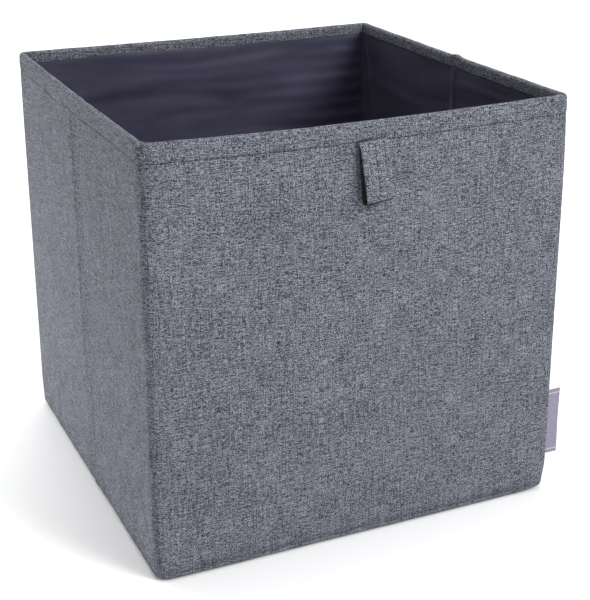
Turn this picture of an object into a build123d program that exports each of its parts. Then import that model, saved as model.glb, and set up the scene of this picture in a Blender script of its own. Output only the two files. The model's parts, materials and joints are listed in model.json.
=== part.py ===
"""Collapsible fabric storage bin: board-stiffened walls in a fabric cover, a loose lining and a lift-out base.

Millimetres, +Z up. The origin is on the floor at the middle of the bin, the front faces -Y and the pull tab
is on it. The bin folds flat when the side walls crease inward and the back wall comes up to the front one.
"""

import os
from dataclasses import dataclass
from math import cos, radians, sin

from build123d import *

# Driving dimensions
WIDTH = 320.0  # outside, left to right
DEPTH = 318.0  # outside, front to back
HEIGHT = 315.0  # floor to rim

COVER = 1.0  # outer fabric with its backing
BOARD = 2.5  # grey board stiffener
LINING = 0.6  # loose inner fabric
HEM = 0.9  # cover fabric turned down inside the rim
HEM_DEPTH = 12.0  # how far the turned-down hem reaches
HEM_SEAM_DROP = 13.5  # the topstitch's distance below the rim

FOLD_GAP = 0.8  # clearance between panels that fold face to face
CREASE_GAP = 0.5  # half the gap between the two halves of a side wall
RIM_ROUND = 1.5
SOFT_EDGE = 0.45  # share of a ribbon's thickness that its rounded edge takes
CORNER_ROUND = 2.2
LINING_TUCK = 4.0  # the lining's top edge lies this far below the rim, under the hem
BOARD_PLAY = 0.5  # slack around a board in its pocket
BOARD_DROP = 4.0  # the board's top edge lies this far below the rim
BOARD_SETBACK = 7.0  # the front and back boards stop short of the rounded corners
CREASE_SEAM = 4.5  # from the crease end of a side panel to the seam in its lining

THREAD = 0.5  # width of a line of stitching
THREAD_PROUD = 0.2  # how far stitching stands off the cloth

BOTTOM_SHEET = 1.0
BOTTOM_LINING = 0.5
BOTTOM_ROUND = 2.0  # the rolled lower edge
CLEAR = 0.3  # general clearance between bodies
INSERT_COVER = 0.5
INSERT_PLAY = 1.0  # gap between the lift-out base and the hems it slides past
INSERT_ROUND = 4.0
INSERT_TURN_IN = 15.0  # cloth turned under the base board

TAB_WIDTH = 22.0
TAB_LENGTH = 44.0
TAB_OFFSET = 1.8  # the tab hangs this far right of the middle
TAB_TILT = 5.0  # degrees, the lower end leans to the right
TAB_STRAP = 1.2  # thickness of one layer of the folded strap
TAB_LOOP = 4.6  # finger gap between the strap's two layers
TAB_TACK = 4.0  # the layers are sewn together for this length
TAB_NECK = 10.0  # the loop is fully open this far down
TAB_SEAM_GAP = 1.0  # the tab starts this far under the topstitch

LABEL_REACH = 8.0
LABEL_HEIGHT = 54.0
LABEL_LOW = 30.5
LABEL_THICK = 0.8
LABEL_STAND_OFF = 0.7
LABEL_SETBACK = 2.0  # from the front face to the label's mid-plane

# Derived dimensions
WALL = COVER + BOARD + LINING
RIM = WALL + HEM
INSERT_HEIGHT = BOARD + 2 * INSERT_COVER
INSERT_LOW = BOTTOM_SHEET + BOTTOM_LINING + CLEAR
INSERT_TOP = INSERT_LOW + INSERT_HEIGHT
WALL_LOW = INSERT_TOP + CLEAR
INSERT_WIDTH = WIDTH - 2 * (RIM + INSERT_PLAY)
INSERT_DEPTH = DEPTH - 2 * (RIM + INSERT_PLAY)
PANEL_START = RIM + FOLD_GAP  # a side panel starts this far behind the front's outer face
PANEL_LENGTH = DEPTH / 2 - PANEL_START - CREASE_GAP
TAB_TOP = HEIGHT - HEM_SEAM_DROP - THREAD / 2 - TAB_SEAM_GAP
TAB_DEPTH = 2 * TAB_STRAP + TAB_LOOP
TAB_BEND = TAB_LENGTH - TAB_DEPTH / 2  # where the loop starts to turn at its lower end
HINGE_INSET = RIM + FOLD_GAP / 2  # corner fold axes, measured from both outer faces


@dataclass
class Wall:
    """One stiff wall panel, described by the outer bottom corner it starts from."""

    name: str
    start: tuple  # (x, y)
    inward: tuple  # unit vector towards the inside of the bin
    length: float
    wraps_corners: bool = False  # front and back covers turn round the bin's vertical edges


WALLS = [
    Wall("front", (-WIDTH / 2, -DEPTH / 2), (0, 1), WIDTH, True),
    Wall("back", (WIDTH / 2, DEPTH / 2), (0, -1), WIDTH, True),
    Wall("left_front", (-WIDTH / 2, -CREASE_GAP), (1, 0), PANEL_LENGTH),
    Wall("left_rear", (-WIDTH / 2, CREASE_GAP + PANEL_LENGTH), (1, 0), PANEL_LENGTH),
    Wall("right_front", (WIDTH / 2, -CREASE_GAP - PANEL_LENGTH), (-1, 0), PANEL_LENGTH),
    Wall("right_rear", (WIDTH / 2, CREASE_GAP), (-1, 0), PANEL_LENGTH),
]


def across(wall, along=0.0):
    """The upright plane across a wall: local X runs inward, local Y up, and the normal runs along the wall."""
    inward = Vector(*wall.inward, 0)
    run = inward.cross(Vector(0, 0, 1))
    origin = Vector(*wall.start, 0) + run * along
    return Plane(origin=origin, x_dir=inward, z_dir=run)


def save(part, name):
    """Labels a finished piece and writes it as its own node."""
    part.label = name
    export_step(part, f"parts/{name}.step")


def slab(wall, name, depth_span, height_span, run_span):
    """A flat piece of a wall, given by its spans inward, upward and along the wall."""
    (near, far), (low, high), (begin, end) = depth_span, height_span, run_span
    with BuildPart() as piece:
        with BuildSketch(across(wall, begin)):
            with Locations(((near + far) / 2, (low + high) / 2)):
                Rectangle(far - near, high - low)
        extrude(amount=end - begin)
    save(piece.part, name)


def wall_cover(wall):
    """The outer fabric: up the outside, over the board's top edge and down inside as a hem."""
    hook = [
        (0, WALL_LOW),
        (0, HEIGHT),
        (RIM, HEIGHT),
        (RIM, HEIGHT - HEM_DEPTH),
        (WALL, HEIGHT - HEM_DEPTH),
        (WALL, HEIGHT - COVER),
        (COVER, HEIGHT - COVER),
        (COVER, WALL_LOW),
    ]
    along = Axis.X if wall.inward[0] == 0 else Axis.Y
    with BuildPart() as cover:
        with BuildSketch(across(wall)):
            with BuildLine():
                Polyline(*hook, close=True)
            make_face()
        extrude(amount=wall.length)
        if wall.wraps_corners:
            for end in (0, wall.length - COVER):
                with BuildSketch(across(wall, end)):
                    with Locations((RIM / 2, (WALL_LOW + HEIGHT) / 2)):
                        Rectangle(RIM, HEIGHT - WALL_LOW)
                extrude(amount=COVER)
            outer = 0 if wall.inward[1] > 0 else -1
            fillet(cover.edges().filter_by(Axis.Z).group_by(Axis.Y)[outer], CORNER_ROUND)
        fillet(cover.edges().filter_by(along).group_by(Axis.Z)[-1], RIM_ROUND)
    save(cover.part, f"{wall.name}_cover")


def wall_board(wall):
    """The grey board in the pocket between the cover and the lining."""
    edge = BOARD_SETBACK if wall.wraps_corners else COVER + BOARD_PLAY
    slab(
        wall,
        f"{wall.name}_board",
        (COVER, COVER + BOARD),
        (WALL_LOW + BOARD_PLAY, HEIGHT - BOARD_DROP),
        (edge, wall.length - edge),
    )


def wall_lining(wall):
    """One side of the lining bag, its top edge caught under the hem."""
    edge = COVER if wall.wraps_corners else 0
    slab(
        wall,
        f"{wall.name}_lining",
        (WALL - LINING, WALL),
        (WALL_LOW, HEIGHT - LINING_TUCK),
        (edge, wall.length - edge),
    )


def rim_stitching(wall):
    """The line of topstitching that holds the hem, on the outside."""
    middle = HEIGHT - HEM_SEAM_DROP
    slab(
        wall,
        f"{wall.name}_rim_stitching",
        (-THREAD_PROUD, 0),
        (middle - THREAD / 2, middle + THREAD / 2),
        (CORNER_ROUND, wall.length - CORNER_ROUND),
    )


def lining_stitching(wall, name, along):
    """An upright line of stitching on a wall's lining, centred at a distance along the wall."""
    slab(
        wall,
        name,
        (WALL, WALL + THREAD_PROUD),
        (WALL_LOW + THREAD, HEIGHT - HEM_DEPTH - THREAD),
        (along - THREAD / 2, along + THREAD / 2),
    )


def bottom_cover():
    """The fabric underside, with the turned-up seam border that the walls stand over."""
    border_top = WALL_LOW - CLEAR
    with BuildPart() as cover:
        with BuildSketch():
            RectangleRounded(WIDTH, DEPTH, CORNER_ROUND)
        extrude(amount=border_top)
        with BuildSketch(Plane.XY.offset(BOTTOM_SHEET)):
            Rectangle(WIDTH - 2 * WALL, DEPTH - 2 * WALL)
        extrude(amount=border_top - BOTTOM_SHEET, mode=Mode.SUBTRACT)
        fillet(cover.faces().sort_by(Axis.Z)[0].outer_wire().edges(), BOTTOM_ROUND)
    save(cover.part, "bottom_cover")


def bottom_lining():
    """The floor of the lining bag, lying on the bottom cover."""
    with BuildPart() as lining:
        with BuildSketch(Plane.XY.offset(BOTTOM_SHEET)):
            Rectangle(WIDTH - 2 * WALL - 2 * CLEAR, DEPTH - 2 * WALL - 2 * CLEAR)
        extrude(amount=BOTTOM_LINING)
    save(lining.part, "bottom_lining")


def insert_board():
    """The grey board inside the lift-out base."""
    with BuildPart() as board:
        with BuildSketch(Plane.XY.offset(INSERT_LOW + INSERT_COVER)):
            RectangleRounded(
                INSERT_WIDTH - 2 * INSERT_COVER,
                INSERT_DEPTH - 2 * INSERT_COVER,
                INSERT_ROUND - INSERT_COVER,
            )
        extrude(amount=BOARD)
    save(board.part, "base_insert_board")


def insert_cover():
    """Lining cloth over the base board's top and edges, turned in and glued underneath."""
    with BuildPart() as cover:
        with BuildSketch(Plane.XY.offset(INSERT_LOW)):
            RectangleRounded(INSERT_WIDTH, INSERT_DEPTH, INSERT_ROUND)
        extrude(amount=INSERT_HEIGHT)
        with BuildSketch(Plane.XY.offset(INSERT_LOW + INSERT_COVER)):
            RectangleRounded(
                INSERT_WIDTH - 2 * INSERT_COVER,
                INSERT_DEPTH - 2 * INSERT_COVER,
                INSERT_ROUND - INSERT_COVER,
            )
        extrude(amount=BOARD, mode=Mode.SUBTRACT)
        with BuildSketch(Plane.XY.offset(INSERT_LOW)):
            Rectangle(INSERT_WIDTH - 2 * INSERT_TURN_IN, INSERT_DEPTH - 2 * INSERT_TURN_IN)
        extrude(amount=INSERT_COVER, mode=Mode.SUBTRACT)
    save(cover.part, "base_insert_cover")


def tab_plane(from_left=0.0):
    """The tab's side plane: local X outward from the front, local Y down the tab, normal across it."""
    tilt = radians(TAB_TILT)
    across_tab = Vector(cos(tilt), 0, sin(tilt))
    top_middle = Vector(TAB_OFFSET, -DEPTH / 2 - CLEAR, TAB_TOP)
    origin = top_middle + across_tab * (from_left - TAB_WIDTH / 2)
    return Plane(origin=origin, x_dir=(0, -1, 0), z_dir=across_tab)


def pull_tab():
    """A strap folded into a loop, flat at the hem seam and open enough for a finger below it."""
    with BuildPart() as tab:
        with BuildSketch(tab_plane()):
            with BuildLine():
                Polyline((0, TAB_BEND), (0, 0), (2 * TAB_STRAP, 0), (TAB_DEPTH, TAB_NECK), (TAB_DEPTH, TAB_BEND))
                ThreePointArc((TAB_DEPTH, TAB_BEND), (TAB_DEPTH / 2, TAB_LENGTH), (0, TAB_BEND))
            make_face()
            inside = TAB_DEPTH - TAB_STRAP
            with BuildLine():
                Polyline(
                    (TAB_STRAP, TAB_BEND),
                    (TAB_STRAP, TAB_TACK),
                    (inside, TAB_NECK + TAB_STRAP),
                    (inside, TAB_BEND),
                )
                lowest = (TAB_DEPTH / 2, TAB_LENGTH - TAB_STRAP)
                ThreePointArc((inside, TAB_BEND), lowest, (TAB_STRAP, TAB_BEND))
            make_face(mode=Mode.SUBTRACT)
        extrude(amount=TAB_WIDTH)
    save(tab.part, "pull_tab")


def tab_stitching():
    """The seam down the middle of the tab's strap."""
    low, high = TAB_NECK + TAB_STRAP, TAB_BEND
    with BuildPart() as seam:
        with BuildSketch(tab_plane((TAB_WIDTH - THREAD) / 2)):
            with Locations((TAB_DEPTH + THREAD_PROUD / 2, (low + high) / 2)):
                Rectangle(THREAD_PROUD, high - low)
        extrude(amount=THREAD)
    save(seam.part, "pull_tab_stitching")


def side_label():
    """The blank woven label folded into the seam at the front right edge."""
    with BuildPart() as label:
        with BuildSketch(Plane.XY.offset(LABEL_LOW)):
            with Locations(
                (
                    WIDTH / 2 + LABEL_STAND_OFF + LABEL_REACH / 2,
                    -DEPTH / 2 + LABEL_SETBACK,
                )
            ):
                Rectangle(LABEL_REACH, LABEL_THICK)
        extrude(amount=LABEL_HEIGHT)
        fillet(label.edges().filter_by(Axis.Z).group_by(Axis.X)[-1], LABEL_THICK * SOFT_EDGE)
    save(label.part, "side_label")


os.makedirs("parts", exist_ok=True)

for panel in WALLS:
    wall_cover(panel)
    wall_board(panel)
    wall_lining(panel)
    rim_stitching(panel)

walls = {wall.name: wall for wall in WALLS}
corner = PANEL_START + THREAD
lining_stitching(walls["front"], "front_left_corner_seam", corner)
lining_stitching(walls["front"], "front_right_corner_seam", WIDTH - corner)
lining_stitching(walls["back"], "back_right_corner_seam", corner)
lining_stitching(walls["back"], "back_left_corner_seam", WIDTH - corner)
lining_stitching(walls["left_front"], "left_crease_seam", CREASE_SEAM)
lining_stitching(walls["right_front"], "right_crease_seam", PANEL_LENGTH - CREASE_SEAM)

bottom_cover()
bottom_lining()
insert_board()
insert_cover()
pull_tab()
tab_stitching()
side_label()

print("corner fold axes, inset from both outer faces:", HINGE_INSET)
print("side crease axes, outside the side faces:", FOLD_GAP / 2)
print("tab hinge: x", TAB_OFFSET, "y", -DEPTH / 2 - CLEAR - TAB_STRAP, "z", TAB_TOP)
print("walls start at z", WALL_LOW, "insert top at z", INSERT_TOP)
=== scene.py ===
"""The fabric storage bin's look: heather cover, satin lining, hem, pull tab, label and lift-out base.

Metres, in the CAD frame: the floor is z 0, the front faces -Y. The cloth of the four walls is one surface,
skin(), described by a distance round the outline, a height and a depth inward. It is cut into pieces where
the bin folds. The pieces of the panels and laps ride on their own panels; the pieces across the corners and
creases are bound to no panel.
"""

import json
from math import cos, pi, radians, sin

import bpy
import numpy as np
from mathutils import Matrix, Vector, noise


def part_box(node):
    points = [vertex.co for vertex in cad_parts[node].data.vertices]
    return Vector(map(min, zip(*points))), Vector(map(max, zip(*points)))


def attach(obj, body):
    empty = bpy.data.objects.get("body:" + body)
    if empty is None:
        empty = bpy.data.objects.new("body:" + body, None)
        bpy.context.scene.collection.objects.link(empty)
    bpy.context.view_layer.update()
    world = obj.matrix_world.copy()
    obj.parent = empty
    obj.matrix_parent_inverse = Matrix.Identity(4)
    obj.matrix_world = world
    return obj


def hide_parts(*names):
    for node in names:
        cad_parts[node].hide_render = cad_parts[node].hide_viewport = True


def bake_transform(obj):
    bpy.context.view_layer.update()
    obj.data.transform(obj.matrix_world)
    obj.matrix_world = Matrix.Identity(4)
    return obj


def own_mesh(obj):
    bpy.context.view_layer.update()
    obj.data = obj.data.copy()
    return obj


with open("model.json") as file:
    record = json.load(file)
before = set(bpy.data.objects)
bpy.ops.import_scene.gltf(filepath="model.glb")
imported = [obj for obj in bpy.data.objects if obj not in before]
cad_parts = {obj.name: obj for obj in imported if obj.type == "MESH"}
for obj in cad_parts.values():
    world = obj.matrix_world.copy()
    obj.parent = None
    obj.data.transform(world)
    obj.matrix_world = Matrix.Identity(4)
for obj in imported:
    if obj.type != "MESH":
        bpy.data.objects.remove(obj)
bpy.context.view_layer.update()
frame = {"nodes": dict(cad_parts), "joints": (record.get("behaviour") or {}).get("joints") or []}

MM = 0.001

# The frame's own measures
front_low, front_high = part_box("front_cover")
WIDTH = front_high.x - front_low.x
FRONT = front_low.y
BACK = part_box("back_cover")[1].y
DEPTH = BACK - FRONT
TOP = front_high.z
WALL_LOW = front_low.z
RIM = front_high.y - FRONT
LINING_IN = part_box("front_lining")[1].y - FRONT
JOINTS = {joint["name"]: joint for joint in frame["joints"]}
HINGE_INSET = WIDTH / 2 + JOINTS["left_front_fold"]["pos_m"][0]

# The cover's own measures
ZONE = 14 * MM  # a corner piece starts this far from the sharp corner
CREASE_HALF = 10 * MM  # half the width of the piece that crosses a side crease
CREASE_LEAN = 4 * MM  # how much further forward a side crease is at the floor than at the rim
RIM_SAG = np.array([2.4, 0.5, 0.8, 0.9]) * MM  # of each side, in the order below
HEM = 9.2 * MM  # depth of the turned-down hem inside
HEM_SEAM = 13.5 * MM  # the topstitch's distance below the rim
LAP = 0.35 * MM  # how far the back right corner's two cloths lie apart
STITCH = 2.9 * MM
STITCH_GAP = 0.7 * MM
THREAD = 0.3 * MM  # half the width of a stitch
YARN = 0.62 * MM  # scale of the weave's ribs
LINING_PLAY = 0.1 * MM  # the lining hangs this far off the boards

# Sides are numbered 0 front, 1 right, 2 back, 3 left, anticlockwise from above
CORNER_AT = np.array([(-WIDTH / 2, FRONT), (WIDTH / 2, FRONT), (WIDTH / 2, BACK), (-WIDTH / 2, BACK)])
ALONG = np.array([(1.0, 0.0), (0.0, 1.0), (-1.0, 0.0), (0.0, -1.0)])
OUTWARD = np.array([(0.0, -1.0), (1.0, 0.0), (0.0, 1.0), (-1.0, 0.0)])
LENGTH = np.array([WIDTH, DEPTH, WIDTH, DEPTH])

# Corner radii in plan at three heights: front right, back right, back left, front left
ROUND_AT_RIM = np.array([8 * MM, HINGE_INSET, 7 * MM, 11 * MM])
ROUND_BELOW = np.array([5.5 * MM, HINGE_INSET, 6 * MM, 9 * MM])
ROUND_AT_FLOOR = np.array([11 * MM, HINGE_INSET, 9 * MM, 11 * MM])
ROUND_FADE = 60 * MM  # the radii change within this distance of the rim
FLOOR_FADE = 26 * MM  # and of the floor
NOMINAL_ROUND = 6 * MM  # the radius that outline distances are measured with
ZONE_PATH = 2 * (ZONE - NOMINAL_ROUND) + NOMINAL_ROUND * pi / 2
RUN = LENGTH - 2 * ZONE
STARTS = np.concatenate([[0.0], np.cumsum(RUN + ZONE_PATH)[:-1]])
LOOP = float(np.sum(RUN + ZONE_PATH))


def smooth(low, high, value):
    t = np.clip((value - low) / (high - low), 0, 1)
    return t * t * (3 - 2 * t)


def bell(distance, width):
    return np.exp(-((distance / width) ** 2))


def wobble(a, b, seed):
    """Smooth noise from -1 to 1 over two coordinates."""
    a, b, seed = np.broadcast_arrays(a, b, seed)
    places = zip(a.ravel().tolist(), b.ravel().tolist(), seed.ravel().tolist())
    return np.array([noise.noise(place) for place in places]).reshape(a.shape)


# ---------------------------------------------------------------- the wall surface


def at(side, distance):
    """The outline distance of a point on a side, that far from the side's first corner."""
    return STARTS[side] + distance - ZONE


def outline(s, z):
    """Side number, distance along it, plan point, outward normal and corner radius at outline distance s."""
    s, z = np.broadcast_arrays(np.asarray(s, float) % LOOP, np.asarray(z, float))
    side = np.searchsorted(STARTS, s, side="right") - 1
    following = (side + 1) % 4
    past = s - STARTS[side]
    on_corner = past > RUN[side]
    near_rim = smooth(TOP - ROUND_FADE, TOP, z)
    near_floor = smooth(FLOOR_FADE, 2 * MM, z)
    radius = ROUND_BELOW[side] + (ROUND_AT_RIM[side] - ROUND_BELOW[side]) * near_rim
    radius = radius + (ROUND_AT_FLOOR[side] - ROUND_BELOW[side]) * near_floor
    straight = ZONE - radius
    path = (past - RUN[side]) / ZONE_PATH * (2 * straight + radius * pi / 2)
    turn = np.clip((path - straight) / radius, 0, pi / 2)
    before = np.clip(path, 0, straight) - straight
    after = np.clip(path - straight - radius * pi / 2, 0, None)

    def many(values):
        return values[..., None]

    centre = CORNER_AT[following] - (OUTWARD[side] + OUTWARD[following]) * many(radius)
    bent = OUTWARD[side] * many(np.cos(turn)) + OUTWARD[following] * many(np.sin(turn))
    corner_point = centre + bent * many(radius) + ALONG[side] * many(before) + ALONG[following] * many(after)
    run_point = CORNER_AT[side] + ALONG[side] * many(past + ZONE)
    point = np.where(many(on_corner), corner_point, run_point)
    normal = np.where(many(on_corner), bent, OUTWARD[side])
    turned = on_corner & (turn > pi / 4)
    side_here = np.where(turned, following, side)
    along = np.where(on_corner, LENGTH[side] - radius + before, past + ZONE)
    along = np.where(turned, radius + after, along)
    arc = on_corner & (turn > 0) & (turn < pi / 2)
    room = np.where(arc, radius - 0.3 * MM, np.inf)
    return side_here, along, point, normal, room


def depthwise(side, along):
    """The Y of a point on the left or right side."""
    return np.where(side == 1, FRONT + along, BACK - along)


def crease_y(z):
    """The side creases lean a little forward towards the floor."""
    return -CREASE_LEAN * (1 - z / TOP)


def rim_height(s):
    """The rim sags, most on the front. It has a step at the right crease and a notch at the left one."""
    side, along, _, _, _ = outline(s, TOP)
    share = along / LENGTH[side]
    sag = RIM_SAG[side] * np.sin(pi * share**0.9) ** 1.3
    y = depthwise(side, along)
    right_step = np.where(side == 1, 1.3 * MM * bell(y + 7 * MM, 6 * MM), 0)
    left_notch = np.where(side == 3, 0.8 * MM * bell(y + 3 * MM, 5 * MM), 0)
    ripple = 0.25 * MM * wobble(s * 45, 0 * s, 3.1) * smooth(0, 0.1, share) * smooth(0, 0.1, 1 - share)
    return TOP - sag + right_step - left_notch + ripple


def crease_folds(side, along, z):
    """The soft valley down a side crease and the low ridge on either side of it, weaker under the hem."""
    behind = depthwise(side, along) - crease_y(z)
    up = z / TOP
    valley = -(0.5 * bell(behind, 4 * MM) + 0.9 * bell(behind, 2 * MM)) * MM * (0.4 + 0.6 * up)
    front_ridge = 0.85 * MM * bell(behind + 6 * MM, 3.5 * MM)
    rear_ridge = 0.85 * MM * bell(behind - 8 * MM, 4 * MM) * up
    under_hem = smooth(TOP - 10 * MM, TOP - 26 * MM, z)
    return (valley + front_ridge + rear_ridge) * (0.25 + 0.75 * under_hem)


def swell(side, along, z):
    """How far the cloth stands out of its wall's flat plane. The side walls' faces meet when the bin folds,
    so their cloth keeps inside the plane but for the ridges beside each crease."""
    tall = np.sin(pi * np.clip(z / TOP, 0, 1))
    arch = np.sin(pi * np.clip(along / LENGTH[side], 0, 1))
    front = arch * (0.7 * tall - 0.1) * MM
    back = arch * 0.8 * tall * MM
    free = smooth(0, 20 * MM, np.minimum(along, LENGTH[side] - along))
    streaks = 0.45 * MM * wobble(along * 90, z * 5, side + 8.3)
    flank = free * (streaks - 0.5 * MM) + crease_folds(side, along, z)
    # The boards stop the cloth from sinking any further, except in the gap between them
    deepest = (0.85 + 0.7 * bell(depthwise(side, along), 1.5 * MM)) * MM
    flank = np.maximum(flank, -deepest)
    broad = 0.3 * wobble(along * 18 + side * 7, z * 13, 1.7)
    small = 0.1 * wobble(along * 70 + side * 7, z * 40, 4.2)
    loose = free * (broad + small + 0.15) * MM
    return np.choose(side, [front + loose, flank, back + loose, flank])


def skin(s, z, inward=0.0, extra=0.0):
    """Points of the wall surface. inward is measured from the cover's outer face, extra stands out of it."""
    side, along, point, normal, room = outline(s, z)
    shift = np.maximum(swell(side, along, z) + extra - inward, -room)
    xy = point + normal * shift[..., None]
    return np.concatenate([xy, np.broadcast_to(z, shift.shape)[..., None]], axis=-1)


# ---------------------------------------------------------------- meshes


def link(name, verts, faces, uvs=None, smooth_shading=True):
    """A mesh object from plain arrays; uvs is one pair for each vertex."""
    mesh = bpy.data.meshes.new(name)
    mesh.from_pydata([tuple(v) for v in verts], [], [tuple(int(i) for i in f) for f in faces])
    mesh.validate()
    if uvs is not None:
        layer = mesh.uv_layers.new(name="cloth")
        corner_vertex = np.empty(len(mesh.loops), np.int64)
        mesh.loops.foreach_get("vertex_index", corner_vertex)
        layer.data.foreach_set("uv", np.asarray(uvs, np.float32)[corner_vertex].ravel())
    mesh.polygons.foreach_set("use_smooth", [smooth_shading] * len(mesh.polygons))
    obj = bpy.data.objects.new(name, mesh)
    bpy.context.scene.collection.objects.link(obj)
    return obj


def grid_faces(columns, rows, closed=False, offset=0):
    """Quads of a grid whose vertices run row by row inside each column."""
    faces = []
    for c in range(columns if closed else columns - 1):
        after = (c + 1) % columns
        for r in range(rows - 1):
            a = offset + c * rows + r
            b = offset + after * rows + r
            faces.append((a, b, b + 1, a + 1))
    return faces


def grid_piece(name, points, across, closed=False):
    """A cloth piece from a grid of points. Its UVs are metres along the outline and along the profile."""
    columns, rows, _ = points.shape
    steps = np.linalg.norm(np.diff(points, axis=1), axis=2).mean(axis=0)
    profile = np.concatenate([[0.0], np.cumsum(steps)])
    uvs = np.stack(np.broadcast_arrays(across[:, None], profile[None, :]), axis=-1)
    return link(name, points.reshape(-1, 3), grid_faces(columns, rows, closed), uvs.reshape(-1, 2))


def columns_between(start, end, step):
    return np.linspace(start, end, max(2, round((end - start) / step) + 1))


# ---------------------------------------------------------------- the panels of the folding cover

RUNS = (
    # piece, body, side, from, to: along the side, in metres
    ("front", "front_wall", 0, ZONE, WIDTH - ZONE),
    ("right_front", "right_front_panel", 1, ZONE, DEPTH / 2 - CREASE_HALF),
    ("right_rear", "right_rear_panel", 1, DEPTH / 2 + CREASE_HALF, DEPTH - ZONE),
    ("back", "back_wall", 2, ZONE, WIDTH - ZONE),
    ("left_rear", "left_rear_panel", 3, ZONE, DEPTH / 2 - CREASE_HALF),
    ("left_front", "left_front_panel", 3, DEPTH / 2 + CREASE_HALF, DEPTH - ZONE),
)


def corner_bend(piece, first, second, side):
    """The bend round the corner that a side leads to."""
    start = STARTS[side] + RUN[side]
    return piece, first, second, start, start + ZONE_PATH, "corner", side


def crease_bend(piece, first, second, side):
    """The bend along a side's middle."""
    start = at(side, DEPTH / 2 - CREASE_HALF)
    end = at(side, DEPTH / 2 + CREASE_HALF)
    return piece, first, second, start, end, "crease", side


BENDS = (
    corner_bend("front_right_corner", "front_wall", "right_front_panel", 0),
    corner_bend("back_left_corner", "back_wall", "left_rear_panel", 2),
    corner_bend("front_left_corner", "left_front_panel", "front_wall", 3),
    crease_bend("right_crease", "right_front_panel", "right_rear_panel", 1),
    crease_bend("left_crease", "left_rear_panel", "left_front_panel", 3),
)
# The open corner: the right rear cloth laps over the back wall's cloth and nothing joins them
CORNER_ARC = (ZONE - HINGE_INSET) / (2 * (ZONE - HINGE_INSET) + HINGE_INSET * pi / 2) * ZONE_PATH
LAPS = (
    # piece, body, from, to, how far it lies under
    ("right_rear_lap", "right_rear_panel", STARTS[1] + RUN[1], STARTS[2] - CORNER_ARC, 0.0),
    ("back_lap", "back_wall", STARTS[1] + RUN[1] + CORNER_ARC, STARTS[2], LAP),
)


def wall_pieces(make, label, step, done):
    """Makes one kind of cloth for every panel, bend and lap. Each panel's and lap's piece is bound to its
    body; the bend pieces are bound to none.
    """
    pieces = {}
    for piece, body, side, start, end in RUNS:
        obj = make(f"{piece}_{label}", columns_between(at(side, start), at(side, end), step), 0.0)
        pieces[piece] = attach(done(obj), body)
    for piece, first, second, start, end, kind, number in BENDS:
        obj = make(f"{piece}_{label}", columns_between(start, end, 1 * MM), 0.0)
        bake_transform(done(obj))
        pieces[piece] = obj
    for piece, body, start, end, under in LAPS:
        obj = make(f"{piece}_{label}", columns_between(start, end, 1 * MM), under)
        pieces[piece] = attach(done(obj), body)
    return pieces


def cover_grid(s, under):
    """The cover's profile: in under the board, up the face, over the rim and down inside as the hem."""
    rim = rim_height(s)[:, None]
    # Rows of points crowd at the seam, whose groove is narrow
    seam = HEM_SEAM + np.array([-6, -4, -2.4, -1.5, -0.9, -0.45, 0, 0.45, 0.9, 1.6, 2.8, 4.5]) * MM
    below = np.arange(HEM_SEAM + 8 * MM, TOP - WALL_LOW - 4 * MM, 6.5 * MM)
    drops = np.concatenate([[RIM / 2 + 1.5 * MM], seam, below, [TOP - WALL_LOW]])[::-1][None, :]
    face_z = WALL_LOW + (rim - WALL_LOW) * (1 - drops / (TOP - WALL_LOW))
    puff = 0.3 * MM * bell(drops - 8 * MM, 4 * MM)
    groove = 0.6 * MM * bell(drops - HEM_SEAM, 0.9 * MM)
    face = skin(s[:, None], face_z, under, puff - groove)
    foot = skin(s[:, None], WALL_LOW + 0 * rim, np.array([[LINING_IN - 0.4 * MM]]))
    angles = np.linspace(0, pi, 10)[None, :]
    roll_z = rim - RIM / 2 * (1 - np.sin(angles))
    roll = skin(s[:, None], roll_z, RIM / 2 * (1 - np.cos(angles)) + under * np.cos(angles / 2))
    hem_drops = HEM * np.array([[0.33, 0.5, 0.67, 0.83, 0.94]])
    hem = skin(s[:, None], rim - hem_drops, RIM - 0.25 * MM * bell(hem_drops - HEM, 3 * MM))
    edge_in = np.array([[RIM - 0.4 * MM, LINING_IN + 0.1 * MM, LINING_IN - 0.6 * MM]])
    edge_drop = np.array([[HEM, HEM + 0.15 * MM, HEM - 1 * MM]])
    edge = skin(s[:, None], rim - edge_drop, edge_in)
    return np.concatenate([foot, face, roll, hem, edge], axis=1)


def make_cover(name, s, under):
    return grid_piece(name, cover_grid(s, under), s)


def corner_puckers(side, along, z, warp):
    """Close level puckers on the back wall, dying away from the back right corner seam."""
    unevenness = 0.5 * MM * wobble(z * 60, along * 10, side * 11.0 + 8)
    pucker = np.sin((z + unevenness) / (11.5 * MM) * 2 * pi + warp * 4)
    from_seam = np.where(side == 2, along, 1.0) - HINGE_INSET
    return pucker * np.exp(-np.abs(from_seam) / (38 * MM))


def slanting_fold(side, along, drop):
    """One fold that slants down the right wall's lining from the back right corner."""
    y = depthwise(side, along)
    reach = DEPTH / 2 - np.abs(y)
    fold = np.where(side == 1, bell(reach - 10 * MM - 0.35 * drop, 5 * MM + 0.04 * drop), 0)
    return fold * smooth(0, 20 * MM, y) * smooth(130 * MM, 30 * MM, drop)


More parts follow.
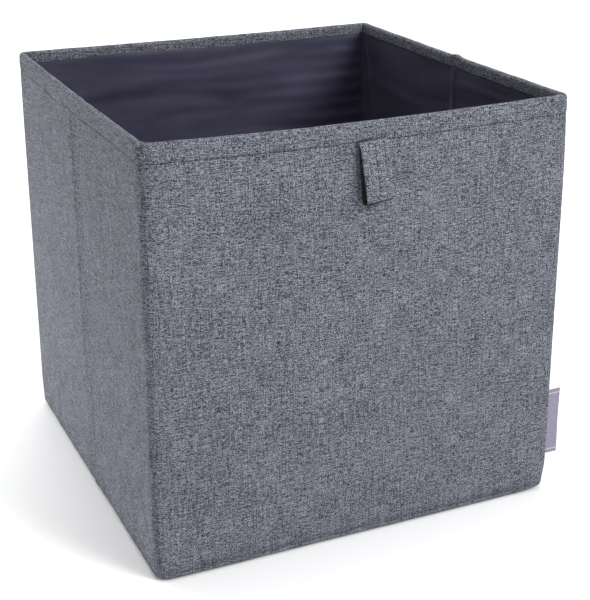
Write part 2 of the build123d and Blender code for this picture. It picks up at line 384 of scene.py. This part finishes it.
def slack(s, z):
    """How far the loose lining hangs off the boards: level ripples, puckers and a fold by the back right
    corner, and a ridge along each side crease. The most is 1.1 mm, so that the linings clear when folded."""
    side, along, _, _, _ = outline(s, z)
    drop = TOP - z
    seed = side * 11.0
    warp = 0.35 * wobble(along * 9, z * 20, seed + 2)
    near_rim = smooth(90 * MM, 25 * MM, drop)
    fine = (0.4 + 0.9 * near_rim) * wobble(along * 11, z * 105 + warp * 5, seed + 5)
    ripple = wobble(along * 8, z * 52 + warp * 3, seed) + fine
    puckers = corner_puckers(side, along, z, warp)
    ridge = np.where(side % 2 == 1, bell(depthwise(side, along) + 5 * MM, 2.5 * MM), 0)
    folds = 2.4 * slanting_fold(side, along, drop) + 2.5 * ridge
    lift = 0.5 + 0.6 * np.tanh((ripple + puckers + folds - 0.1) / 0.85)
    from_corner = np.minimum(along, LENGTH[side] - along)
    held = smooth(0, 14 * MM, from_corner) * smooth(0, 5 * MM, drop - HEM + 3 * MM)
    return np.clip(lift, 0.02, None) * MM * (0.1 + 0.9 * held)


def lining_depth(s, z):
    """The lining's depth behind the cover. It lies on the flat boards, so the cover's swell is taken off."""
    side, along, _, _, _ = outline(s, z)
    return LINING_IN + LINING_PLAY + slack(s, z) + swell(side, along, z)


def lining_grid(s):
    """The lining hangs from under the hem to the floor."""
    rim = rim_height(s)[:, None]
    drops = np.concatenate([[HEM - 3 * MM, HEM], np.arange(HEM + 2 * MM, 150 * MM, 2.5 * MM)])
    rest = np.arange(152 * MM, TOP - WALL_LOW - 2 * MM, 5 * MM)
    drops = np.concatenate([drops, rest, [TOP - WALL_LOW]])[None, :]
    z = WALL_LOW + (rim - WALL_LOW) * (1 - drops / (TOP - WALL_LOW))
    return skin(s[:, None], z, lining_depth(s[:, None], z))[:, ::-1]


def make_lining(name, s, under):
    """The lining is the same at the laps, so it makes no use of under."""
    return grid_piece(name, lining_grid(s), s)


# ---------------------------------------------------------------- the bottom and the lift-out base


def ring(half_width, half_depth, radius, step):
    """A rounded rectangle: plan points, outward normals and distances along it, anticlockwise."""
    points, normals = [], []
    corners = ((1, -1), (1, 1), (-1, 1), (-1, -1))
    for number, (sx, sy) in enumerate(corners):
        centre = np.array([sx * (half_width - radius), sy * (half_depth - radius)])
        first = -pi / 2 + number * pi / 2
        for angle in np.linspace(first, first + pi / 2, 8):
            direction = np.array([cos(angle), sin(angle)])
            points.append(centre + direction * radius)
            normals.append(direction)
        after = corners[(number + 1) % 4]
        target = np.array([after[0] * (half_width - radius), after[1] * (half_depth - radius)])
        target = target + normals[-1] * radius
        count = max(2, round(np.linalg.norm(target - points[-1]) / step))
        begin = points[-1]
        for share in np.linspace(0, 1, count + 1)[1:-1]:
            points.append(begin + (target - begin) * share)
            normals.append(normals[-1])
    points, normals = np.array(points), np.array(normals)
    gaps = np.linalg.norm(np.diff(points, axis=0), axis=1)
    return points, normals, np.concatenate([[0.0], np.cumsum(gaps)])


def with_middle(name, edge_points, edge_across, middle_points):
    """One cloth: a closed edge band with UVs along it, and a middle whose UVs are its plan place."""
    columns, rows, _ = edge_points.shape
    steps = np.linalg.norm(np.diff(edge_points, axis=1), axis=2).mean(axis=0)
    profile = np.concatenate([[0.0], np.cumsum(steps)])
    uvs = np.stack(np.broadcast_arrays(edge_across[:, None], profile[None, :]), axis=-1).reshape(-1, 2)
    middle_rows = middle_points.shape[1]
    verts = np.concatenate([edge_points.reshape(-1, 3), middle_points.reshape(-1, 3)])
    faces = grid_faces(columns, rows, True)
    faces += grid_faces(columns, middle_rows, True, columns * rows)
    faces.append([columns * rows + c * middle_rows + middle_rows - 1 for c in range(columns)])
    all_uvs = np.concatenate([uvs, middle_points.reshape(-1, 3)[:, :2]])
    return link(name, verts, faces, all_uvs)


def shrunk(points, shares, height):
    """Rings scaled towards the middle of the bin, at the heights that height gives for their places."""
    rings = [points[..., :2] * share for share in shares]
    plan = np.stack(rings, axis=1)
    return np.concatenate([plan, height(plan)[..., None]], axis=-1)


def bottom_cloth():
    """The cover's floor with its rolled edge, closed over the seam border that the walls stand on."""
    columns = []
    for side in range(4):
        corner_start = STARTS[side] + RUN[side]
        columns.append(columns_between(STARTS[side], corner_start, 4 * MM)[:-1])
        columns.append(columns_between(corner_start, corner_start + ZONE_PATH, 1.2 * MM)[:-1])
    s = np.concatenate(columns)
    low = WALL_LOW - 0.15 * MM
    floor_side, along, _, _, _ = outline(s, low)
    from_corner = np.minimum(along, LENGTH[floor_side] - along)
    right_front = np.where(floor_side == 0, along > WIDTH / 2, (floor_side == 1) & (along < DEPTH / 2))
    lifted = np.where(right_front, 4.5 * MM, 2 * MM) * bell(from_corner, 14 * MM)
    crease_gap = np.abs(depthwise(floor_side, along) - crease_y(0))
    lifted = lifted + np.where(floor_side % 2 == 1, 1.3 * MM * bell(crease_gap, 4 * MM), 0)
    inside = LINING_IN - 0.4 * MM
    lip_in = np.array([[inside, inside, inside - 0.5 * MM]])
    lip_z = np.array([[1.3 * MM, low - 0.5 * MM, low]]) + 0 * s[:, None]
    lip = skin(s[:, None], lip_z, lip_in)
    angles = np.linspace(0, pi / 2, 9)[None, :]
    bottom = 0.25 * MM + lifted[:, None]
    roll = low - bottom
    face_z = low - roll * np.sin(angles)
    face_in = 0.9 * roll * (1 - np.cos(angles))
    face = skin(s[:, None], face_z, face_in)
    under = skin(s[:, None], bottom, np.array([[5.2 * MM]]))
    edge = np.concatenate([lip, face, under], axis=1)
    across = s - s[0]

    def height(plan):
        waves = 0.15 * MM * wobble(plan[..., 0] * 25, plan[..., 1] * 25, 6.3)
        return 0.35 * MM + np.abs(waves)

    middle = shrunk(under[:, 0], (1.0, 0.97, 0.9, 0.8, 0.65, 0.5, 0.35, 0.2, 0.05), height)
    middle[:, 0, 2] = under[:, 0, 2]
    return with_middle("bottom_cloth", edge, across, middle)


def floor_lining():
    """The floor of the lining bag, lying loose on the bottom."""
    low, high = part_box("bottom_lining")
    plan, _, across = ring(high.x, high.y, 4 * MM, 8 * MM)

    def height(points):
        waves = 0.2 * MM * wobble(points[..., 0] * 30, points[..., 1] * 22, 9.1)
        return low.z + 0.25 * MM + waves

    edge = shrunk(plan, (1.0, 0.995), height)
    middle = shrunk(plan, (0.995, 0.97, 0.93, 0.88, 0.8, 0.7, 0.6, 0.5, 0.4, 0.3, 0.2, 0.1, 0.03), height)
    return with_middle("floor_lining_cloth", edge, across, middle)


def base_cloth():
    """Lining cloth pulled over the base board and turned in underneath."""
    low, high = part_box("base_insert_cover")
    radius = (high.z - low.z) / 2
    middle_z = low.z + radius
    plan, normals, across = ring(high.x - radius, high.y - radius, 3 * MM, 7 * MM)
    angles = np.linspace(-pi / 2, pi / 2, 9)

    def at_height(points, z):
        return np.column_stack([points, np.full(len(points), z)])

    roll = [at_height(plan + normals * radius * cos(a), middle_z + radius * sin(a)) for a in angles]
    turned_under = [at_height(plan * share, low.z + 0.1 * MM) for share in (0.91, 0.95, 0.985)]
    edge = np.stack(turned_under + roll, axis=1)

    def height(points):
        waves = 0.08 * MM * wobble(points[..., 0] * 40, points[..., 1] * 30, 5.5)
        return high.z - 0.1 * MM + waves

    shares = (1.0, 0.985, 0.95, 0.9, 0.82, 0.74, 0.66, 0.58, 0.5, 0.4, 0.3, 0.2, 0.1, 0.03)
    middle = shrunk(plan, shares, height)
    middle[:, 0, 2] = high.z
    return with_middle("base_cloth", edge, across, middle)


# ---------------------------------------------------------------- stitches, tab and label


def stitches(name, starts, ends, normals):
    """One flattened spindle of thread for each stitch."""
    rings = ((0.0, 0.3), (0.12, 0.8), (0.5, 1.0), (0.88, 0.8), (1.0, 0.3))
    around = 6
    verts, faces, uvs = [], [], []
    for start, end, normal in zip(starts, ends, normals):
        run = Vector(end) - Vector(start)
        out = Vector(normal).normalized()
        wide = run.cross(out).normalized()
        first = len(verts)
        for share, fullness in rings:
            middle = Vector(start) + run * share
            for k in range(around):
                angle = 2 * pi * k / around
                spread = wide * cos(angle) + out * sin(angle) * 0.8
                verts.append(middle + spread * THREAD * fullness)
                uvs.append((run.length * share, k / around * MM))
        for r in range(len(rings) - 1):
            for k in range(around):
                a = first + r * around + k
                b = first + r * around + (k + 1) % around
                faces.append((a, b, b + around, a + around))
        faces.append([first + k for k in reversed(range(around))])
        faces.append([first + (len(rings) - 1) * around + k for k in range(around)])
    return link(name, verts, faces, uvs)


def hem_stitches(name, s, under):
    """Topstitching under the rim, along a stretch of outline."""
    start, end = s[0], s[-1]
    count = max(1, round((end - start) / (STITCH + STITCH_GAP)))
    pitch = (end - start) / count
    begin = start + pitch * np.arange(count) + STITCH_GAP / 2
    finish = begin + pitch - STITCH_GAP

    def seam_point(where):
        rim = rim_height(where)
        z = WALL_LOW + (rim - WALL_LOW) * (1 - HEM_SEAM / (TOP - WALL_LOW))
        return skin(where, z, under, -0.3 * MM)

    _, _, _, outward, _ = outline((begin + finish) / 2, TOP)
    normals = np.column_stack([outward, np.zeros(count)])
    return stitches(name, seam_point(begin), seam_point(finish), normals)


def lining_stitches(name, side, along):
    """An upright seam in the lining."""
    top = TOP - HEM - 2 * MM
    count = int((top - WALL_LOW) / (STITCH + STITCH_GAP))
    begin = WALL_LOW + (STITCH + STITCH_GAP) * np.arange(count) + STITCH_GAP
    finish = begin + STITCH
    s = np.full(count, at(side, along))

    def seam_point(z):
        return skin(s, z, lining_depth(s, z) - 0.12 * MM)

    _, _, _, outward, _ = outline(s, TOP)
    normals = np.column_stack([-outward, np.zeros(count)])
    return stitches(name, seam_point(begin), seam_point(finish), normals)


TAB_WIDTH = 22 * MM
TAB_OPEN_LEFT = 8.6 * MM
TAB_OPEN_RIGHT = 4 * MM
TAB_TILT = np.arctan2(-JOINTS["tab_swing"]["axis"][2], -JOINTS["tab_swing"]["axis"][0])
STRAP = 1.1 * MM
STRAP_ROOT = 0.55 * STRAP  # half the distance between the strap's layers where they are caught in the seam
FOLD_FROM = 0.44  # the strap's lower fold takes this middle share of its length
FOLD_TO = 0.56
TAB_SEAMS = (0.5, 0.84)  # shares of the tab's width


def tab_frame():
    """The tab's top middle at its seam, and its directions: across, outward and down."""
    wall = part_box("pull_tab")[1].y
    across = np.array([cos(TAB_TILT), 0, sin(TAB_TILT)])
    down = np.array([sin(TAB_TILT), 0, -cos(TAB_TILT)])
    outward = np.array([0.0, -1.0, 0.0])
    hinge = JOINTS["tab_swing"]["pos_m"]
    return np.array([hinge[0], wall, hinge[2]]), across, outward, down


def tab_strip(q, p):
    """Depth off the wall and distance down the tab, at share q across it and share p along the strap.
    The loop stands wider open at the left edge than at the right."""
    low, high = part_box("pull_tab")
    length = high.z - low.z - TAB_WIDTH * sin(TAB_TILT)
    opening = TAB_OPEN_LEFT + (TAB_OPEN_RIGHT - TAB_OPEN_LEFT) * smooth(0.1, 1.0, q)
    radius = (opening - STRAP) / 2
    straight = length - opening / 2
    turn = np.clip((p - FOLD_FROM) / (FOLD_TO - FOLD_FROM), 0, 1) * pi
    past_seam = np.minimum(p, 1 - p) / FOLD_FROM
    in_fold = (p >= FOLD_FROM) & (p <= FOLD_TO)
    down = np.where(in_fold, straight + radius * np.sin(turn), past_seam * straight)
    spread = 0.5 * smooth(0, 0.15, past_seam) + 0.5 * smooth(0.1, 1, past_seam)
    middle = STRAP / 2 + STRAP_ROOT + (radius - STRAP_ROOT) * spread
    half = np.maximum(radius * spread, STRAP_ROOT)
    return middle + half * np.cos(turn), down


def pull_tab():
    """A strap of the cover cloth with its edges folded to the middle, looped and caught in the hem seam."""
    top, across, outward, down_way = tab_frame()
    q = np.concatenate([np.linspace(0, 0.44, 10), [0.465, 0.48, 0.5, 0.52, 0.535], np.linspace(0.56, 1, 10)])
    fold = np.linspace(FOLD_FROM, FOLD_TO, 11)[1:-1]
    p = np.concatenate([np.linspace(0, FOLD_FROM, 22), fold, np.linspace(FOLD_TO, 1, 22)])
    qs, ps = np.meshgrid(q, p, indexing="ij")
    depth, down = tab_strip(qs, ps)
    length = down.max()
    wave = 0.3 * MM * wobble(down * 90, ps * 3, 7.7) * smooth(0, 0.2, down / length)
    depth = depth + wave
    step = 1e-4
    depth_after, down_after = tab_strip(qs, np.clip(ps + step, 0, 1))
    depth_before, down_before = tab_strip(qs, np.clip(ps - step, 0, 1))
    along_p = np.stack([depth_after - depth_before, down_after - down_before], axis=-1)
    along_p /= np.linalg.norm(along_p, axis=-1, keepdims=True) + 1e-12
    outer = np.stack([along_p[..., 1], -along_p[..., 0]], axis=-1)
    groove = 0.45 * MM * bell(qs - TAB_SEAMS[0], 0.02) + 0.25 * MM * bell(qs - TAB_SEAMS[1], 0.015)
    rounded = 1 - 0.55 * (bell(qs, 0.03) + bell(qs - 1, 0.03))
    thick = STRAP / 2 * rounded

    def place(depths, downs):
        side_way = (qs - 0.5) * TAB_WIDTH
        parts = side_way[..., None] * across + depths[..., None] * outward + downs[..., None] * down_way
        return top + parts

    outside = place(depth + outer[..., 0] * (thick - groove), down + outer[..., 1] * (thick - groove))
    inside = place(depth - outer[..., 0] * thick, down - outer[..., 1] * thick)
    columns, rows = qs.shape
    strap_length = np.linspace(0, 2 * length, rows)
    uv = np.stack(np.broadcast_arrays(q[:, None] * TAB_WIDTH + 0.31, strap_length[None, :] + 0.17), axis=-1)
    verts = np.concatenate([outside.reshape(-1, 3), inside.reshape(-1, 3)])
    uvs = np.concatenate([uv.reshape(-1, 2), uv.reshape(-1, 2) + 0.05])
    faces = grid_faces(columns, rows)
    faces += [tuple(reversed(f)) for f in grid_faces(columns, rows, offset=columns * rows)]
    # The darker material is painted shade: it darkens the strap's inside, where the loop lies in shade, and
    # the front half of its lower fold, as the shade under it
    in_fold = [int(0.45 < p[r] < 0.5) for _ in range(columns - 1) for r in range(rows - 1)]
    shaded = in_fold + [1] * len(in_fold)
    count = columns * rows
    for r in range(rows - 1):
        left, right = r, (columns - 1) * rows + r
        faces.append((left, left + 1, count + left + 1, count + left))
        faces.append((right + 1, right, count + right, count + right + 1))
    for c in range(columns - 1):
        a, b = c * rows, (c + 1) * rows
        faces.append((b, a, count + a, count + b))
        faces.append((a + rows - 1, b + rows - 1, count + b + rows - 1, count + a + rows - 1))
    strap = link("pull_tab_strap", verts, faces, uvs)
    strap.data.materials.append(TAB)
    strap.data.materials.append(TAB_PAINTED_SHADE)
    shaded += [0] * (len(faces) - len(shaded))
    strap.data.polygons.foreach_set("material_index", shaded)
    return strap


def tab_stitches():
    """The strap's two lines of stitching, on its front."""
    top, across, outward, down_way = tab_frame()
    starts, ends = [], []
    for q in TAB_SEAMS:
        seam = top + (q - 0.5) * TAB_WIDTH * across
        p = np.linspace(0.02, 0.42, 13)
        depth, down = tab_strip(np.full_like(p, q), p)
        for k in range(len(p) - 1):
            share = np.array([0.1, 0.9])
            d = depth[k] + (depth[k + 1] - depth[k]) * share + STRAP / 2 - 0.15 * MM
            w = down[k] + (down[k + 1] - down[k]) * share
            pair = [seam + d[i] * outward + w[i] * down_way for i in range(2)]
            starts.append(pair[0])
            ends.append(pair[1])
    return stitches("pull_tab_thread", starts, ends, [outward] * len(starts))


def side_label():
    """A blank woven ribbon folded double, its ends in the seam, a little curled."""
    low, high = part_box("side_label")
    reach = high.x - low.x
    across = np.linspace(0, 1, 12)
    up = np.linspace(0, 1, 24)
    edge = np.linspace(-pi / 2, pi / 2, 7)
    half = (high.y - low.y) / 2
    profile = [(share * (reach - half), -1.0, 0.0) for share in across[:-1]]
    profile += [(reach - half, sin(a), cos(a)) for a in edge]
    profile += [(share * (reach - half), 1.0, 0.0) for share in across[::-1][1:]]
    points = np.empty((len(profile), len(up), 3))
    for i, (out, face, past) in enumerate(profile):
        share = out / reach
        curl = 0.7 * MM * share**2 * np.sin(pi * (up - 0.15)) - 0.5 * MM * share * (up - 0.5)
        loose = 0.25 * MM * share * wobble(up * 5, 0 * up + share * 2, 2.9)
        points[i, :, 0] = low.x - 3.5 * MM * (1 - share) + out + past * half
        points[i, :, 1] = (low.y + high.y) / 2 + face * half * (0.75 + 0.25 * share) + curl + loose
        points[i, :, 2] = low.z + (high.z - low.z) * up
    lengths = np.array([out if face < 0 else 2 * reach - out for out, face, _ in profile])
    columns, rows, _ = points.shape
    uvs = np.stack(np.broadcast_arrays(lengths[:, None], (up * (high.z - low.z))[None, :]), axis=-1)
    faces = grid_faces(columns, rows)
    for r in (0, rows - 1):
        ring_of = [c * rows + r for c in range(columns)]
        faces.append(ring_of if r == 0 else ring_of[::-1])
    return link("side_label_ribbon", points.reshape(-1, 3), faces, uvs.reshape(-1, 2))


# ---------------------------------------------------------------- materials


class Shader:
    """A small helper that adds nodes to one material and links them."""

    def __init__(self, name):
        self.material = bpy.data.materials.new(name)
        self.material.use_nodes = True
        self.tree = self.material.node_tree
        self.principled = self.tree.nodes["Principled BSDF"]

    def node(self, kind, inputs=(), **settings):
        added = self.tree.nodes.new(kind)
        for key, value in settings.items():
            setattr(added, key, value)
        for key, value in dict(inputs).items():
            if isinstance(value, bpy.types.NodeSocket):
                self.tree.links.new(value, added.inputs[key])
            else:
                added.inputs[key].default_value = value
        return added

    def math(self, operation, a, b=0.0):
        return self.node("ShaderNodeMath", {0: a, 1: b}, operation=operation).outputs[0]

    def uv(self, across, along):
        """The cloth's coordinates, in units of across and along metres."""
        place = self.node("ShaderNodeUVMap", uv_map="cloth").outputs["UV"]
        scale = (1 / across, 1 / along, 1)
        return self.node("ShaderNodeVectorMath", {0: place, 1: scale}, operation="MULTIPLY").outputs[0]

    def speckle(self, across, along, detail=2.0, roughness=0.5):
        """Noise whose grains are about across by along metres."""
        vector = self.uv(across, along)
        inputs = {"Vector": vector, "Scale": 1.0, "Detail": detail, "Roughness": roughness}
        return self.node("ShaderNodeTexNoise", inputs, noise_dimensions="2D").outputs["Fac"]

    def ramp(self, value, stops):
        """stops are (position, colour) pairs."""
        added = self.node("ShaderNodeValToRGB", {"Fac": value})
        elements = added.color_ramp.elements
        while len(elements) < len(stops):
            elements.new(0.5)
        for element, (position, colour) in zip(elements, stops):
            element.position = position
            element.color = (*colour, 1)
        return added.outputs["Color"]

    def ribs(self, direction, width):
        """Slightly uneven bands across one direction of the cloth, 0.63 of width metres apart."""
        inputs = {"Vector": self.uv(width, width), "Scale": 0.5, "Distortion": 0.6, "Detail": 1.0}
        added = self.node("ShaderNodeTexWave", inputs, wave_type="BANDS", bands_direction=direction)
        return added.outputs["Fac"]

    def spread(self, value, low, high):
        return self.node("ShaderNodeMapRange", {"Value": value, "To Min": low, "To Max": high}).outputs[0]

    def bump(self, height, distance, strength=1.0):
        inputs = {"Height": height, "Distance": distance, "Strength": strength}
        self.tree.links.new(self.node("ShaderNodeBump", inputs).outputs[0], self.principled.inputs["Normal"])

    def set(self, **values):
        for key, value in values.items():
            socket = self.principled.inputs[key.replace("_", " ").title().replace("Ior", "IOR")]
            if isinstance(value, bpy.types.NodeSocket):
                self.tree.links.new(value, socket)
            else:
                socket.default_value = value
        return self.material


def heather_cloth(name, light=1.0):
    """A plain weave of mixed light and dark yarns: flecks along both thread directions, with slubs."""
    m = Shader(name)
    grain = m.speckle(0.51 * MM, 0.51 * MM, 1)
    parts = (
        (grain, 2.1),
        (m.speckle(0.5 * MM, 2.8 * MM, 2, 0.6), 0.8),  # upright flecks
        (m.speckle(3.2 * MM, 0.5 * MM, 2, 0.6), 1.2),  # level flecks
        (m.speckle(15 * MM, 0.9 * MM, 2), 0.6),  # level slubs
        (m.speckle(0.9 * MM, 22 * MM, 2), 0.45),  # upright slubs
        (m.speckle(45 * MM, 38 * MM, 3), 0.12),  # uneven dye
    )
    total = 0.5
    for part, weight in parts:
        centred = m.math("SUBTRACT", part, 0.5)
        total = m.math("ADD", m.math("MULTIPLY", centred, weight), total)
    stops = (
        (0.25, (0.006, 0.007, 0.010)),
        (0.43, (0.029, 0.031, 0.044)),
        (0.55, (0.079, 0.084, 0.109)),
        (0.73, (0.33, 0.35, 0.41)),
    )
    colour = m.ramp(total, [(place, tuple(light * c for c in mix)) for place, mix in stops])
    weave = m.math("MULTIPLY", m.math("ADD", m.ribs("X", YARN), m.ribs("Y", YARN)), 0.35)
    m.bump(m.math("ADD", weave, m.math("MULTIPLY", total, 1.2)), 0.22 * MM, 0.8)
    return m.set(
        base_color=colour,
        roughness=m.spread(grain, 0.8, 0.98),
        specular_ior_level=0.12,
        sheen_weight=0.06,
        sheen_roughness=0.45,
    )


def satin_lining(name):
    """Dark shiny lining with a faint crosswise rib."""
    m = Shader(name)
    cloud = m.speckle(60 * MM, 25 * MM, 3)
    rib = m.speckle(9 * MM, 0.35 * MM, 2)
    thread = m.speckle(0.4 * MM, 5 * MM, 2)
    mixed = m.math("ADD", m.math("MULTIPLY", cloud, 0.6), m.math("MULTIPLY", thread, 0.4))
    colour = m.ramp(mixed, ((0.25, (0.024, 0.022, 0.044)), (0.75, (0.050, 0.047, 0.086))))
    m.bump(m.math("ADD", rib, thread), 0.05 * MM, 0.5)
    return m.set(
        base_color=colour,
        roughness=m.spread(cloud, 0.36, 0.52),
        specular_ior_level=0.55,
        sheen_weight=0.25,
        sheen_roughness=0.3,
    )


def thread_material(name, colour):
    """Twisted sewing thread."""
    m = Shader(name)
    ply = m.speckle(0.5 * MM, 0.2 * MM, 2)
    dark = tuple(0.6 * c for c in colour)
    m.bump(ply, 0.08 * MM, 0.6)
    return m.set(
        base_color=m.ramp(ply, ((0.3, dark), (0.7, colour))),
        roughness=m.spread(ply, 0.55, 0.75),
        specular_ior_level=0.35,
        sheen_weight=0.2,
    )


def label_material(name):
    """Woven ribbon with fine ribs and a narrow plain border."""
    m = Shader(name)
    low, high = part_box("side_label")
    place = m.node("ShaderNodeUVMap", uv_map="cloth").outputs["UV"]
    parts = m.node("ShaderNodeSeparateXYZ", {0: place})
    height = parts.outputs["Y"]
    tall = high.z - low.z
    from_middle = m.math("ABSOLUTE", m.math("SUBTRACT", height, tall / 2))
    border = m.math("COMPARE", from_middle, tall / 2 - 3.2 * MM)
    border.node.inputs[2].default_value = 0.35 * MM
    rib = m.speckle(3 * MM, 0.4 * MM, 2)
    ground = m.ramp(rib, ((0.3, (0.15, 0.137, 0.19)), (0.7, (0.24, 0.22, 0.30))))
    mix = m.node("ShaderNodeMix", data_type="RGBA")
    m.tree.links.new(border, mix.inputs[0])
    m.tree.links.new(ground, mix.inputs[6])
    mix.inputs[7].default_value = (0.45, 0.43, 0.5, 1)
    m.bump(rib, 0.1 * MM, 0.6)
    return m.set(base_color=mix.outputs[2], roughness=m.spread(rib, 0.5, 0.7), sheen_weight=0.2)


def board_material(name):
    """Recycled grey board with flecks of fibre."""
    m = Shader(name)
    place = m.node("ShaderNodeTexCoord").outputs["Object"]
    fleck = m.node(
        "ShaderNodeTexNoise", {"Vector": place, "Scale": 900.0, "Detail": 3.0, "Roughness": 0.7}
    ).outputs["Fac"]
    cloud = m.node("ShaderNodeTexNoise", {"Vector": place, "Scale": 40.0, "Detail": 2.0}).outputs["Fac"]
    mixed = m.math("ADD", m.math("MULTIPLY", fleck, 0.7), m.math("MULTIPLY", cloud, 0.3))
    stops = ((0.3, (0.16, 0.15, 0.135)), (0.5, (0.30, 0.28, 0.25)), (0.7, (0.42, 0.40, 0.36)))
    m.bump(fleck, 0.1 * MM, 0.5)
    return m.set(base_color=m.ramp(mixed, stops), roughness=m.spread(cloud, 0.85, 0.97))


# ---------------------------------------------------------------- putting it together


def finished(material):
    """A function that gives a piece its material and its slot."""

    def finish_piece(obj):
        obj.data.materials.clear()
        obj.data.materials.append(material)
        return obj

    return finish_piece


OUTER = heather_cloth("heather_cloth")
BOTTOM = heather_cloth("heather_bottom_cloth")
TAB = heather_cloth("heather_strap_cloth", 1.05)
# A fifth as bright as the strap cloth: painted shade for the inside of the tab's loop and the front half of
# its lower fold
TAB_PAINTED_SHADE = heather_cloth("heather_strap_painted_shade", 0.2)
LINING = satin_lining("satin_lining")
HEM_THREAD = thread_material("hem_thread", (0.013, 0.013, 0.019))
LINING_THREAD = thread_material("lining_thread", (0.09, 0.087, 0.12))
LABEL = label_material("woven_label")
BOARD = board_material("grey_board")


def build_walls():
    covers = wall_pieces(make_cover, "cloth", 4 * MM, finished(OUTER))
    linings = wall_pieces(make_lining, "lining_cloth", 3.5 * MM, finished(LINING))
    threads = wall_pieces(hem_stitches, "hem_thread", 4 * MM, finished(HEM_THREAD))
    for piece, _, _, start, end in RUNS:
        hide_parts(f"{piece}_cover")
        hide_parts(f"{piece}_lining")
        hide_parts(f"{piece}_rim_stitching")


def build_lining_seams():
    seam = finished(LINING_THREAD)
    corner = HINGE_INSET + 1 * MM
    lines = (
        ("front_left_corner_seam", "front_wall", 0, corner),
        ("front_right_corner_seam", "front_wall", 0, WIDTH - corner),
        ("back_right_corner_seam", "back_wall", 2, corner),
        ("back_left_corner_seam", "back_wall", 2, WIDTH - corner),
        ("left_crease_seam", "left_front_panel", 3, DEPTH / 2 + 5 * MM),
        ("right_crease_seam", "right_front_panel", 1, DEPTH / 2 - 5 * MM),
    )
    for node, body, side, along in lines:
        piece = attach(seam(lining_stitches(f"{node}_thread", side, along)), body)
        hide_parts(node)


def build_bottom():
    """The bottom cloths ride on the front wall, each with a mesh of its own."""
    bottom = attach(finished(BOTTOM)(bottom_cloth()), "front_wall")
    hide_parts("bottom_cover")
    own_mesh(bottom)
    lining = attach(finished(LINING)(floor_lining()), "front_wall")
    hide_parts("bottom_lining")
    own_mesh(lining)


def build_base():
    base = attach(finished(LINING)(base_cloth()), "base_insert")
    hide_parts("base_insert_cover")


def build_trim():
    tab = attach(pull_tab(), "pull_tab")
    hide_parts("pull_tab")
    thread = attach(finished(HEM_THREAD)(tab_stitches()), "pull_tab")
    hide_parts("pull_tab_stitching")
    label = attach(finished(LABEL)(side_label()), "side_label")
    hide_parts("side_label")


def build_boards():
    for name, node in frame["nodes"].items():
        if name.endswith("_board"):
            finished(BOARD)(node)


# ---------------------------------------------------------------- camera, floor and light


CAMERA_PLACE = (-0.398, -0.9216, 0.5314)
CAMERA_AZIMUTH = radians(-24.23)
CAMERA_ELEVATION = radians(19.6)
CAMERA_ROLL = radians(-0.2)
CAMERA_LENS = 80.3  # millimetres, for a picture 36 mm wide
CAMERA_SHIFT = -0.09
LIGHTS = (
    # name, place, width, height, watts, aimed at, spread in degrees
    ("key", (1.3, -2.1, 1.9), 1.3, 1.3, 75, (0, 0, 0.15), 180),
    ("fill", (-1.6, -1.6, 0.9), 1.2, 1.2, 2, (0, 0, 0.15), 180),
    ("side", (-0.62, 0.72, 0.14), 0.6, 0.24, 1.9, (-0.2, 0, -0.08), 80),
    ("top", (0.1, -0.1, 2.4), 1.6, 1.6, 20, (0, 0, 0.15), 180),
    ("backdrop", (0.3, 2.6, 1.8), 3.0, 2.0, 60, (0.2, 1.4, 0), 180),
)
STUDIO_GLOW = 0.45
FLOOR_REACH = 6.0


def add_camera():
    data = bpy.data.cameras.new("camera")
    data.lens = CAMERA_LENS
    data.sensor_width = 36
    data.shift_y = CAMERA_SHIFT
    camera = bpy.data.objects.new("camera", data)
    level = cos(CAMERA_ELEVATION)
    back = Vector((sin(CAMERA_AZIMUTH) * level, -cos(CAMERA_AZIMUTH) * level, sin(CAMERA_ELEVATION)))
    right = Vector((cos(CAMERA_AZIMUTH), sin(CAMERA_AZIMUTH), 0))
    turned = Matrix((right, back.cross(right), back)).transposed().to_4x4()
    turned = turned @ Matrix.Rotation(CAMERA_ROLL, 4, "Z")
    camera.matrix_world = Matrix.Translation(CAMERA_PLACE) @ turned
    bpy.context.scene.collection.objects.link(camera)
    bpy.context.scene.camera = camera


def add_light(name, place, width, height, watts, target, spread):
    data = bpy.data.lights.new(name, "AREA")
    data.shape = "ELLIPSE"
    data.size = width
    data.size_y = height
    data.energy = watts
    data.spread = radians(spread)
    light = bpy.data.objects.new(name, data)
    light.location = place
    light.rotation_euler = (Vector(target) - Vector(place)).to_track_quat("-Z", "Y").to_euler()
    bpy.context.scene.collection.objects.link(light)


def add_floor():
    plan = ((-1, -1), (1, -1), (1, 1), (-1, 1))
    corners = [(x * FLOOR_REACH, y * FLOOR_REACH, 0) for x, y in plan]
    floor = link("floor", corners, [(0, 1, 2, 3)], smooth_shading=False)
    pale = Shader("pale_floor")
    pale.set(base_color=(0.93, 0.93, 0.93, 1), roughness=0.9, specular_ior_level=0.1)
    floor.data.materials.append(pale.material)


def add_studio():
    world = bpy.data.worlds.new("studio")
    world.use_nodes = True
    background = world.node_tree.nodes["Background"]
    background.inputs["Color"].default_value = (1, 1, 1, 1)
    background.inputs["Strength"].default_value = STUDIO_GLOW
    bpy.context.scene.world = world
    for light in LIGHTS:
        add_light(*light)
    bpy.context.scene.view_settings.view_transform = "Standard"


build_walls()
build_lining_seams()
build_bottom()
build_base()
build_trim()
build_boards()
add_camera()
add_floor()
add_studio()
